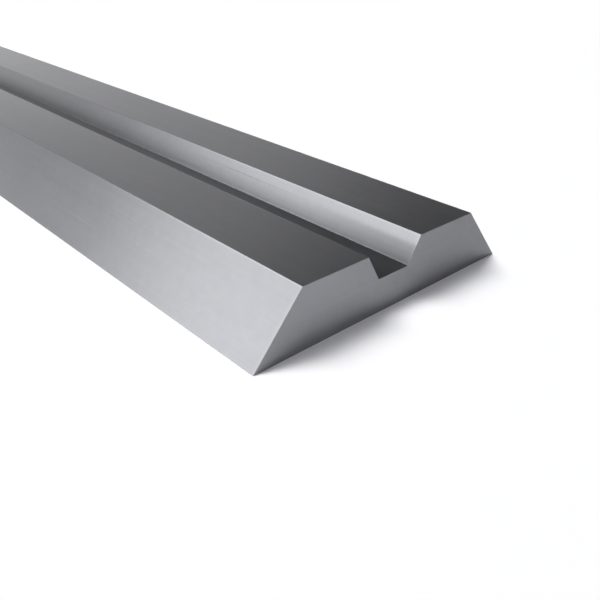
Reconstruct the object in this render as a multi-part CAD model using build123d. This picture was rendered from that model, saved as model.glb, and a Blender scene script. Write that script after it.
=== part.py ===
from build123d import *
import math
import os

# A reversible carbide knife: one solid bar of constant section, ground all over. Its wide face lies down
# and meets the two bevels in the two cutting edges. Its narrow face, on top, is two lands with a locating
# groove between them. The origin is at the middle of the wide face, +X along the knife and +Z towards the lands.

# Driving dimensions, in millimetres and degrees
KNIFE_LENGTH = 60.0
KNIFE_WIDTH = 16.0  # from one cutting edge to the other
KNIFE_THICKNESS = 3.0  # from the wide face to the lands
WEDGE_ANGLE = 49.5  # between the wide face and each bevel
GROOVE_MOUTH = 3.42  # between the flanks, at the height of the lands
GROOVE_DEPTH = 1.3  # from the lands to the groove's floor
FLANK_ANGLE = 60.0  # between the groove's floor and each flank
ROOT_RADIUS = 0.1  # in the two corners where the flanks meet the floor
LAND_BREAK = 0.03  # rounding along the lands' edges, where nothing cuts
END_BREAK = 0.03  # rounding round the two square ends, except at the wide face


def half_width_of_lands():
    """Distance from the knife's middle plane to the edge where a land meets its bevel."""
    bevel_run = KNIFE_THICKNESS / math.tan(math.radians(WEDGE_ANGLE))
    return KNIFE_WIDTH / 2 - bevel_run


def half_width_of_floor():
    """Distance from the knife's middle plane to the corner where the groove's floor meets a flank."""
    flank_run = GROOVE_DEPTH / math.tan(math.radians(FLANK_ANGLE))
    return GROOVE_MOUTH / 2 - flank_run


def knife_section():
    """The section across the knife. One half is drawn, from the wide face to the groove's floor, and mirrored."""
    floor_height = KNIFE_THICKNESS - GROOVE_DEPTH
    with BuildSketch(Plane.YZ) as section:
        with BuildLine():
            Polyline(
                (0, 0),
                (KNIFE_WIDTH / 2, 0),
                (half_width_of_lands(), KNIFE_THICKNESS),
                (GROOVE_MOUTH / 2, KNIFE_THICKNESS),
                (half_width_of_floor(), floor_height),
                (0, floor_height),
            )
            mirror(about=Plane.YZ)
        make_face()
        # From the bottom up, the corners are the cutting edges, then the groove's roots, then the lands' edges.
        groove_roots = section.vertices().group_by(Axis.Y)[1]
        fillet(groove_roots, ROOT_RADIUS)
        land_edges = section.vertices().group_by(Axis.Y)[-1]
        fillet(land_edges, LAND_BREAK)
    return section.sketch


def end_rim(bar, end):
    """The edges round one end of the bar, without the lowest one, which is the end of the wide face."""
    end_face = bar.faces().sort_by(Axis.X)[end]
    return end_face.edges().sort_by(Axis.Z)[1:]


def knife():
    """The section run the whole length, with both ends' rims broken and the two cutting edges left sharp."""
    bar = extrude(knife_section(), amount=KNIFE_LENGTH / 2, both=True)
    return fillet(end_rim(bar, 0) + end_rim(bar, -1), END_BREAK)


os.makedirs("parts", exist_ok=True)
export_step(knife(), "parts/knife.step")
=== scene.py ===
import math

import bpy
from mathutils import Matrix, Vector


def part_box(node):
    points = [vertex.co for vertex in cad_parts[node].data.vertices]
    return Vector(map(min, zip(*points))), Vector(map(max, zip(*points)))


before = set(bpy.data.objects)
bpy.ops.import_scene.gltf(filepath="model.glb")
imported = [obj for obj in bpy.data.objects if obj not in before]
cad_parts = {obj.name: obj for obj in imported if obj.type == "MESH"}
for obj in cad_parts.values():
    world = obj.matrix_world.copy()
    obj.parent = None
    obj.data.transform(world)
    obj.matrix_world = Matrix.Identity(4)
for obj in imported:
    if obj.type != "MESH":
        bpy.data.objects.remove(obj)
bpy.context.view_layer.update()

# Lengths are in metres, unless a name ends in MM, and angles are in degrees. Places are in the knife's
# own frame: X along it, Y across it and Z up, from the middle of its wide face. An azimuth turns from
# +X towards +Y. A lean turns what faces the knife clockwise, as seen from the knife.
MM = 0.001
KNIFE = "knife"
KNIFE_LOW, KNIFE_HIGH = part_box(KNIFE)
KNIFE_ACROSS = (0.0, 1.0, 0.0)
UP = Vector((0.0, 0.0, 1.0))
MIDDLE = 0.5  # of what runs from 0 to 1

# The camera, matched to the knife's corners and long edges in the photograph's 600 by 600 frame
PHOTO_SIDE_PIXELS = 600.0
FOCAL_PIXELS = 677.8
CAMERA_AZIMUTH = -42.41
CAMERA_ELEVATION = 30.285
CAMERA_LEAN = 0.385
END_FOOT_PIXEL = (391.04, 305.57)  # the middle of the near end's lower edge
END_FOOT_DEPTH = 30.675 * MM  # from the camera to that point, along the camera's axis
SENSOR_WIDTH_MM = 36.0
CLIP_START, CLIP_END = 1 * MM, 20.0

# The table. As the camera and the metal see it, it fades into plain white between two distances from
# the knife's middle.
FLOOR_HALF_WIDTH = 3.0
FLOOR_PAINT = (0.97, 0.97, 0.97, 1.0)
FLOOR_LIT, FLOOR_WHITE = 45 * MM, 100 * MM

# The key lights the table and casts the knife's shadow. The metal doesn't show it, as if it stood
# behind a screen. The front softbox shines on the metal alone. The light of both fades over a share of
# their width and height, in from each edge.
SOFTBOX_DISTANCE = 1.0
KEY = {
    "azimuth": -153.1,
    "elevation": 67.7,
    "lean": 18.3,
    "wide": 0.566,
    "high": 0.697,
    "radiance": 12.223,
    "fade": 0.18,
}
FRONT = {
    "azimuth": -116.5,
    "elevation": 31.4,
    "lean": 30.4,
    "wide": 1.243,
    "high": 1.354,
    "radiance": 2.5847,
    "fade": 0.077,
}

# The studio round them, as levels where 0 is black and 1 is white. It lights the table as one dim,
# faintly blue room. The metal shows a white backdrop low down on the left, a pale ceiling, and round
# screens, each of which fades out between two angles from its middle. The backdrop and the ceiling fade
# along a direction's X and Z.
ROOM_COLOUR = (0.185, 0.185, 0.21, 1.0)
STUDIO_WHITE = (1.0, 1.0, 1.0, 1.0)
BACKDROP_LEVEL = 1.15
BACKDROP_TOP_Z, BACKDROP_FADED_Z = 0.1, 0.25
BACKDROP_FULL_X, BACKDROP_FADED_X = -0.4, 0.2
CEILING_LEVEL = 0.7
CEILING_FADED_Z, CEILING_FULL_Z = 0.82, 0.95
SCREENS = {
    "left": {"azimuth": 182.5, "elevation": -11.0, "full": 48.6, "edge": 67.4, "level": 0.448},
    "right": {"azimuth": 40.0, "elevation": 42.0, "full": 22.0, "edge": 46.0, "level": 0.8},
    "by_the_camera": {"azimuth": -42.0, "elevation": 26.0, "full": 24.0, "edge": 52.0, "level": 1.6},
}

# Ground carbide. Its lines run along the knife on the long faces and across it on the two ends, which
# are rougher.
CARBIDE = (0.2355, 0.238, 0.251)
ROUGHNESS = 0.343
END_ROUGHNESS = 0.48
END_FACING = 0.7  # a face belongs to an end where its normal leans more than this towards +X or -X
ANISOTROPY = 0.7
QUARTER_TURN = 0.25

# The marks in it: lines, a few deeper scratches, bands, clouds and mottles. A shade or a spread is the
# whole range that a mark covers, as a share of the colour or as a roughness.
LINE_WIDTH, LINE_LENGTH, LINE_DEPTH = 0.07 * MM, 9 * MM, 0.003 * MM
LINE_SHADE = 0.14
SCRATCH_WIDTH, SCRATCH_LENGTH, SCRATCH_DEPTH = 0.16 * MM, 30 * MM, 0.004 * MM
SCRATCH_FROM, SCRATCH_FULL = 0.63, 0.74  # the part of the noise that makes them: few and narrow
BAND_WIDTH, BAND_LENGTH = 0.7 * MM, 60 * MM
CLOUD_SIZE = 3.5 * MM
BAND_AND_CLOUD_SHADE = 0.09
MOTTLE_SIZE = 0.5 * MM
MOTTLE_SHADE = 0.1
ROUGHNESS_SPREAD = 0.05
LINE_DETAIL, OTHER_DETAIL = 3.0, 2.0  # octaves of noise

# The groove carries painted shade. Its walls are darker towards their foot. Over the last stretch at
# both ends they are darker still low down, with a painted highlight at the rim. The groove's floor
# has a little painted shade against the lands. Depths are measured down from the lands.
GROOVE_MOUTH_HALF = 1.71 * MM
GROOVE_DEPTH = 1.3 * MM
WALL_FOOT_PAINTED_SHADE, WALL_TOP_PAINTED_SHADE = 0.29, 0.04
WALL_TOP = 0.39 * MM
WALL_END_LENGTH = 8 * MM
WALL_END_LOW_PAINTED_SHADE, WALL_END_RIM_PAINTED_LIGHT = 0.2, -0.08
WALL_END_LOW, WALL_END_RIM = 0.585 * MM, 0.312 * MM
GROOVE_FLOOR_PAINTED_SHADE = 0.03
WALL_NORMAL_Z, GROOVE_FLOOR_NORMAL_Z = 0.6, 0.95  # where a wall ends, and where the floor starts

# The two ends carry painted light, which makes them a little paler than the long faces, and painted
# shade, which makes each darker on one side of its middle.
END_PAINTED_LIGHT = 0.105
END_SIDE_PAINTED_SHADE = 0.12
END_SIDE_FULL = 4.5 * MM  # from the middle, where that shade is full

# The upper edges and the rims of the ends are handled, so they are a little smoother, and they carry a
# thin painted highlight that makes them a little paler.
WEDGE_ANGLE = 49.5  # between a bevel and the wide face
EDGE_POLISHED, EDGE_FADED = 0.03 * MM, 0.14 * MM  # from the edge
EDGE_PAINTED_HIGHLIGHT = 0.06
EDGE_SMOOTHER = 0.04
EDGE_UNEVENNESS = 1.0  # which follows the clouds


def direction(azimuth, elevation):
    """The unit vector at an azimuth and an elevation."""
    azimuth, elevation = math.radians(azimuth), math.radians(elevation)
    level = math.cos(elevation)
    return Vector((math.cos(azimuth) * level, math.sin(azimuth) * level, math.sin(elevation)))


def facing_axes(azimuth, elevation, lean):
    """The right, up and back of a camera or a lamp that faces the knife from a direction."""
    back = direction(azimuth, elevation)
    level = UP.cross(back).normalized()
    upright = back.cross(level)
    lean = math.radians(lean)
    right = level * math.cos(lean) + upright * math.sin(lean)
    return right, back.cross(right), back


def put_in_scene(thing, place, axes):
    """Add a camera or a lamp to the scene at a place, turned to its axes."""
    thing.matrix_world = Matrix.Translation(place) @ Matrix(axes).transposed().to_4x4()
    bpy.context.scene.collection.objects.link(thing)


def make_camera():
    """The photograph's camera, placed from the pixel that shows the foot of the near end."""
    right, up, back = facing_axes(CAMERA_AZIMUTH, CAMERA_ELEVATION, CAMERA_LEAN)
    end_foot = Vector((KNIFE_HIGH.x, (KNIFE_LOW.y + KNIFE_HIGH.y) / 2, KNIFE_LOW.z))
    middle = PHOTO_SIDE_PIXELS / 2
    metres_per_pixel = END_FOOT_DEPTH / FOCAL_PIXELS
    rightwards = (END_FOOT_PIXEL[0] - middle) * metres_per_pixel
    downwards = (END_FOOT_PIXEL[1] - middle) * metres_per_pixel
    place = end_foot - right * rightwards + up * downwards + back * END_FOOT_DEPTH

    data = bpy.data.cameras.new("camera")
    data.sensor_width = SENSOR_WIDTH_MM
    data.lens = SENSOR_WIDTH_MM * FOCAL_PIXELS / PHOTO_SIDE_PIXELS
    data.clip_start, data.clip_end = CLIP_START, CLIP_END
    camera = bpy.data.objects.new("camera", data)
    put_in_scene(camera, place, (right, up, back))
    bpy.context.scene.camera = camera


def feed(tree, socket, value):
    """Link an input socket to an output socket, or set it to a number, a vector or a colour."""
    if isinstance(value, bpy.types.NodeSocket):
        tree.links.new(value, socket)
    else:
        socket.default_value = value


def maths(tree, operation, *values):
    """The result of a Math node, where each value is a socket or a number."""
    node = tree.nodes.new("ShaderNodeMath")
    node.operation = operation
    for socket, value in zip(node.inputs, values):
        feed(tree, socket, value)
    return node.outputs["Value"]


def vector_maths(tree, operation, *values):
    """The outputs of a Vector Math node, where each value is a socket or a vector."""
    node = tree.nodes.new("ShaderNodeVectorMath")
    node.operation = operation
    for socket, value in zip(node.inputs, values):
        feed(tree, socket, value)
    return node.outputs


def total(tree, *values):
    """The sum of two or more values, each a socket or a number."""
    result = values[0]
    for value in values[1:]:
        result = maths(tree, "ADD", result, value)
    return result


def product(tree, *values):
    """The product of two or more values, each a socket or a number."""
    result = values[0]
    for value in values[1:]:
        result = maths(tree, "MULTIPLY", result, value)
    return result


def remainder(tree, share):
    """What a share leaves of 1."""
    return maths(tree, "SUBTRACT", 1.0, share)


def swing(tree, value, whole_range):
    """A value from 0 to 1, moved to lie round 0 and scaled to a whole range."""
    return product(tree, maths(tree, "SUBTRACT", value, MIDDLE), whole_range)


def ramp(tree, value, start, stop, before, after, kind="SMOOTHSTEP"):
    """A slope from one level, before the start, to another, after the stop."""
    slope = tree.nodes.new("ShaderNodeMapRange")
    slope.interpolation_type = kind
    slope.inputs["From Min"].default_value = start
    slope.inputs["From Max"].default_value = stop
    slope.inputs["To Min"].default_value = before
    slope.inputs["To Max"].default_value = after
    tree.links.new(value, slope.inputs["Value"])
    return slope.outputs["Result"]


def split(tree, vector):
    """The three parts of a vector, as the sockets X, Y and Z."""
    node = tree.nodes.new("ShaderNodeSeparateXYZ")
    tree.links.new(vector, node.inputs["Vector"])
    return node.outputs


def mix_vectors(tree, share, first, second):
    """The first vector where a share is 0, and the second where it is 1."""
    mix = tree.nodes.new("ShaderNodeMix")
    mix.data_type = "VECTOR"
    inputs = {socket.identifier: socket for socket in mix.inputs}
    outputs = {socket.identifier: socket for socket in mix.outputs}
    tree.links.new(share, inputs["Factor_Float"])
    tree.links.new(first, inputs["A_Vector"])
    tree.links.new(second, inputs["B_Vector"])
    return outputs["Result_Vector"]


def mix_shaders(tree, share, first, second):
    """The first shader where a share is 0, and the second where it is 1."""
    mix = tree.nodes.new("ShaderNodeMixShader")
    for socket, value in zip(mix.inputs, (share, first, second)):
        tree.links.new(value, socket)
    return mix.outputs["Shader"]


def seen_by(tree):
    """Which kind of ray meets a surface: its sockets are 1 for that kind and 0 for all others."""
    return tree.nodes.new("ShaderNodeLightPath").outputs


def in_sight(tree):
    """1 for what the camera sees, straight or in the metal, and 0 for what lights the table."""
    seen = seen_by(tree)
    return maths(tree, "MAXIMUM", seen["Is Camera Ray"], seen["Is Glossy Ray"])


def new_material(name):
    """A material with an empty node tree, that tree, and the socket where its surface goes."""
    material = bpy.data.materials.new(name)
    material.use_nodes = True
    tree = material.node_tree
    tree.nodes.clear()
    output = tree.nodes.new("ShaderNodeOutputMaterial")
    return material, tree, output.inputs["Surface"]


def make_table_paint():
    """White paint, which takes the knife's shadow close by and looks plain white further off."""
    material, tree, surface = new_material("white_table")
    paint = tree.nodes.new("ShaderNodeBsdfDiffuse")
    paint.inputs["Color"].default_value = FLOOR_PAINT
    white = tree.nodes.new("ShaderNodeEmission")
    place = tree.nodes.new("ShaderNodeTexCoord").outputs["Object"]
    distance = vector_maths(tree, "LENGTH", place)["Value"]
    far = ramp(tree, distance, FLOOR_LIT, FLOOR_WHITE, 0.0, 1.0)
    share = product(tree, far, in_sight(tree))
    mix = mix_shaders(tree, share, paint.outputs["BSDF"], white.outputs["Emission"])
    tree.links.new(mix, surface)
    return material


def make_floor():
    """A wide white table top under the knife."""
    half = FLOOR_HALF_WIDTH
    mesh = bpy.data.meshes.new("floor")
    corners = [(-half, -half), (half, -half), (half, half), (-half, half)]
    mesh.from_pydata([(x, y, KNIFE_LOW.z) for x, y in corners], [], [(0, 1, 2, 3)])
    mesh.materials.append(make_table_paint())
    floor = bpy.data.objects.new("floor", mesh)
    bpy.context.scene.collection.objects.link(floor)


def screen_level(tree, towards, azimuth, elevation, full, edge, level):
    """The level of a round pale screen, in each direction."""
    nearness = vector_maths(tree, "DOT_PRODUCT", towards, direction(azimuth, elevation))["Value"]
    at_edge, at_full = math.cos(math.radians(edge)), math.cos(math.radians(full))
    return ramp(tree, nearness, at_edge, at_full, 0.0, level)


def studio_level(tree):
    """The level of the studio's backdrop, ceiling and screens, in each direction."""
    towards = tree.nodes.new("ShaderNodeTexCoord").outputs["Generated"]
    parts = split(tree, towards)
    low_down = ramp(tree, parts["Z"], BACKDROP_TOP_Z, BACKDROP_FADED_Z, BACKDROP_LEVEL, 0.0)
    on_left = ramp(tree, parts["X"], BACKDROP_FULL_X, BACKDROP_FADED_X, 1.0, 0.0)
    ceiling = ramp(tree, parts["Z"], CEILING_FADED_Z, CEILING_FULL_Z, 0.0, CEILING_LEVEL)
    screens = [screen_level(tree, towards, **screen) for screen in SCREENS.values()]
    return total(tree, product(tree, low_down, on_left), ceiling, *screens)


def background(tree, colour, level):
    """A background shader of a colour, at a level."""
    node = tree.nodes.new("ShaderNodeBackground")
    node.inputs["Color"].default_value = colour
    feed(tree, node.inputs["Strength"], level)
    return node.outputs["Background"]


def make_world():
    """The studio: a dim room for the table, screens for the metal, and plain white for the camera."""
    world = bpy.data.worlds.new("studio")
    world.use_nodes = True
    tree = world.node_tree
    tree.nodes.clear()
    seen = seen_by(tree)
    in_metal = product(tree, studio_level(tree), seen["Is Glossy Ray"])
    shown = background(tree, STUDIO_WHITE, total(tree, in_metal, seen["Is Camera Ray"]))
    room = background(tree, ROOM_COLOUR, 1.0)
    output = tree.nodes.new("ShaderNodeOutputWorld")
    tree.links.new(mix_shaders(tree, in_sight(tree), room, shown), output.inputs["Surface"])
    bpy.context.scene.world = world


def fade_edges(data, share):
    """Let a softbox's light fade over a share of its width and height, in from each edge."""
    data.use_nodes = True
    tree = data.node_tree
    across = split(tree, tree.nodes.new("ShaderNodeNewGeometry").outputs["Parametric"])
    fades = []
    for axis in "XY":
        off_middle = maths(tree, "ABSOLUTE", maths(tree, "SUBTRACT", across[axis], MIDDLE))
        fades.append(ramp(tree, off_middle, MIDDLE - share, MIDDLE, 1.0, 0.0))
    emission = next(node for node in tree.nodes if node.type == "EMISSION")
    tree.links.new(product(tree, *fades), emission.inputs["Strength"])


def make_softbox(name, azimuth, elevation, lean, wide, high, radiance, fade):
    """An area lamp that faces the knife. Pi watts give a square metre of it a radiance of 1."""
    data = bpy.data.lights.new(name, "AREA")
    data.shape = "RECTANGLE"
    data.size, data.size_y = wide, high
    data.energy = math.pi * radiance * wide * high
    fade_edges(data, fade)
    lamp = bpy.data.objects.new(name, data)
    right, up, back = facing_axes(azimuth, elevation, lean)
    put_in_scene(lamp, back * SOFTBOX_DISTANCE, (right, up, back))
    return lamp


def noise(tree, place, size=1.0, detail=OTHER_DETAIL):
    """Noise from 0 to 1, with features of about one size."""
    node = tree.nodes.new("ShaderNodeTexNoise")
    node.inputs["Scale"].default_value = 1 / size
    node.inputs["Detail"].default_value = detail
    tree.links.new(place, node.inputs["Vector"])
    return node.outputs["Fac"]


def drawn_out_noise(tree, position, on_end, width, length, detail=OTHER_DETAIL):
    """Noise from 0 to 1, drawn out along the grinding lines."""
    on_long_faces = vector_maths(tree, "DIVIDE", position, (length, width, width))["Vector"]
    on_ends = vector_maths(tree, "DIVIDE", position, (width, length, width))["Vector"]
    return noise(tree, mix_vectors(tree, on_end, on_long_faces, on_ends), detail=detail)


def grinding_marks(tree, position, on_end):
    """The marks in the ground faces, each from 0 to 1."""
    scratches = drawn_out_noise(tree, position, on_end, SCRATCH_WIDTH, SCRATCH_LENGTH)
    return {
        "lines": drawn_out_noise(tree, position, on_end, LINE_WIDTH, LINE_LENGTH, LINE_DETAIL),
        "scratches": ramp(tree, scratches, SCRATCH_FROM, SCRATCH_FULL, 0.0, 1.0),
        "bands": drawn_out_noise(tree, position, on_end, BAND_WIDTH, BAND_LENGTH),
        "clouds": noise(tree, position, CLOUD_SIZE),
        "mottles": noise(tree, position, MOTTLE_SIZE),
    }


def painted_wall_shade(tree, place):
    """The painted shade of a groove wall, as a share of colour: more at its foot and near the ends."""
    top = KNIFE_HIGH.z
    foot = top - GROOVE_DEPTH
    # Painted shade, darker at the wall's foot and low down near the ends, with painted light at the rim
    # there
    wall = ramp(tree, place["Z"], foot, top - WALL_TOP, WALL_FOOT_PAINTED_SHADE, WALL_TOP_PAINTED_SHADE, "LINEAR")
    off_middle = maths(tree, "ABSOLUTE", place["X"])
    near_end = ramp(tree, off_middle, KNIFE_HIGH.x - WALL_END_LENGTH, KNIFE_HIGH.x, 0.0, 1.0)
    low, rim = top - WALL_END_LOW, top - WALL_END_RIM
    near_end_painted_shade = ramp(tree, place["Z"], low, rim, WALL_END_LOW_PAINTED_SHADE, WALL_END_RIM_PAINTED_LIGHT)
    return total(tree, wall, product(tree, near_end, near_end_painted_shade))


def painted_groove_shade(tree, place, facing, on_end):
    """The painted shade of the groove, as a share of its colour. It is 0 outside the groove."""
    inside = maths(tree, "LESS_THAN", maths(tree, "ABSOLUTE", place["Y"]), GROOVE_MOUTH_HALF)
    low_down = maths(tree, "LESS_THAN", place["Z"], KNIFE_HIGH.z - GROOVE_DEPTH / 2)
    looks_up = ramp(tree, facing["Z"], WALL_NORMAL_Z, GROOVE_FLOOR_NORMAL_Z, 0.0, 1.0)
    on_floor = product(tree, looks_up, low_down)
    # Painted shade on the walls, and a little painted shade on the floor
    walls = product(tree, painted_wall_shade(tree, place), remainder(tree, on_floor))
    shade = total(tree, walls, product(tree, on_floor, GROOVE_FLOOR_PAINTED_SHADE))
    return product(tree, shade, inside, remainder(tree, on_end))


def worn_and_highlit_edges(tree, place, on_end, clouds):
    """About 1 on the upper edges and the rims of the ends, and 0 away from them and on the ends."""
    section = tree.nodes.new("ShaderNodeCombineXYZ")
    tree.links.new(maths(tree, "ABSOLUTE", place["Y"]), section.inputs["Y"])
    tree.links.new(place["Z"], section.inputs["Z"])
    bevel_width = (KNIFE_HIGH.z - KNIFE_LOW.z) / math.tan(math.radians(WEDGE_ANGLE))
    nearest = maths(tree, "SUBTRACT", KNIFE_HIGH.x, maths(tree, "ABSOLUTE", place["X"]))
    for edge_y in (KNIFE_HIGH.y - bevel_width, GROOVE_MOUTH_HALF):
        edge = (0.0, edge_y, KNIFE_HIGH.z)
        distance = vector_maths(tree, "DISTANCE", section.outputs["Vector"], edge)["Value"]
        nearest = maths(tree, "MINIMUM", nearest, distance)
    worn_and_highlit = ramp(tree, nearest, EDGE_POLISHED, EDGE_FADED, 1.0, 0.0)
    uneven = total(tree, swing(tree, clouds, EDGE_UNEVENNESS), 1.0)
    return product(tree, worn_and_highlit, uneven, remainder(tree, on_end))


def ground_colour(tree, place, facing, on_end, marks, edges):
    """The carbide's colour, with its marks and the painted light and shade of its edges, ends and
    groove.
    """
    # Painted light on the ends, and painted shade on one side of their middle
    paler_side, darker_side = END_PAINTED_LIGHT + END_SIDE_PAINTED_SHADE, END_PAINTED_LIGHT - END_SIDE_PAINTED_SHADE
    full = END_SIDE_FULL
    painted_end_light_and_shade = ramp(tree, place["Y"], -full, full, paler_side, darker_side, "LINEAR")
    shade = total(
        tree,
        swing(tree, marks["bands"], BAND_AND_CLOUD_SHADE),
        swing(tree, marks["clouds"], BAND_AND_CLOUD_SHADE),
        swing(tree, marks["lines"], LINE_SHADE),
        swing(tree, marks["mottles"], MOTTLE_SHADE),
        # A thin painted highlight along the upper edges and the rims of the ends
        product(tree, edges, EDGE_PAINTED_HIGHLIGHT),
        product(tree, painted_end_light_and_shade, on_end),
        1.0,
    )
    # The groove's painted shade takes its share of the colour away
    shade = product(tree, shade, remainder(tree, painted_groove_shade(tree, place, facing, on_end)))
    return vector_maths(tree, "MULTIPLY", CARBIDE, shade)["Vector"]


def ground_roughness(tree, on_end, marks, edges):
    """The carbide's roughness, uneven with its marks, less on its edges and more on its ends."""
    return total(
        tree,
        swing(tree, marks["lines"], ROUGHNESS_SPREAD),
        swing(tree, marks["clouds"], ROUGHNESS_SPREAD),
        product(tree, edges, -EDGE_SMOOTHER),
        product(tree, on_end, END_ROUGHNESS - ROUGHNESS),
        ROUGHNESS,
    )


def ground_bump(tree, marks):
    """The relief of the lines and scratches, whose height is in metres."""
    lines = product(tree, marks["lines"], LINE_DEPTH)
    scratches = product(tree, marks["scratches"], -SCRATCH_DEPTH)
    bump = tree.nodes.new("ShaderNodeBump")
    bump.inputs["Strength"].default_value = 1.0
    bump.inputs["Distance"].default_value = 1.0
    tree.links.new(total(tree, lines, scratches), bump.inputs["Height"])
    return bump.outputs["Normal"]


def make_carbide():
    """Ground carbide. On the long faces its highlights are stretched across the grinding lines."""
    material, tree, surface = new_material("ground_carbide")
    source = tree.nodes.new("ShaderNodeTexCoord").outputs
    position, normal = source["Object"], source["Normal"]
    place, facing = split(tree, position), split(tree, normal)
    on_end = maths(tree, "GREATER_THAN", maths(tree, "ABSOLUTE", facing["X"]), END_FACING)
    marks = grinding_marks(tree, position, on_end)
    edges = worn_and_highlit_edges(tree, place, on_end, marks["clouds"])

    metal = tree.nodes.new("ShaderNodeBsdfPrincipled")
    settings = {
        "Base Color": ground_colour(tree, place, facing, on_end, marks, edges),
        "Metallic": 1.0,
        "Roughness": ground_roughness(tree, on_end, marks, edges),
        "Normal": ground_bump(tree, marks),
        "Anisotropic": ANISOTROPY,
        "Anisotropic Rotation": QUARTER_TURN,
        "Tangent": vector_maths(tree, "CROSS_PRODUCT", normal, KNIFE_ACROSS)["Vector"],
    }
    for name, value in settings.items():
        feed(tree, metal.inputs[name], value)
    tree.links.new(metal.outputs["BSDF"], surface)
    return material


make_camera()
make_floor()
make_world()
make_softbox("key", **KEY).visible_glossy = False
make_softbox("front", **FRONT).visible_diffuse = False
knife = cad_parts[KNIFE]
knife.data.materials.clear()
knife.data.materials.append(make_carbide())

bpy.context.scene.view_settings.view_transform = "Standard"
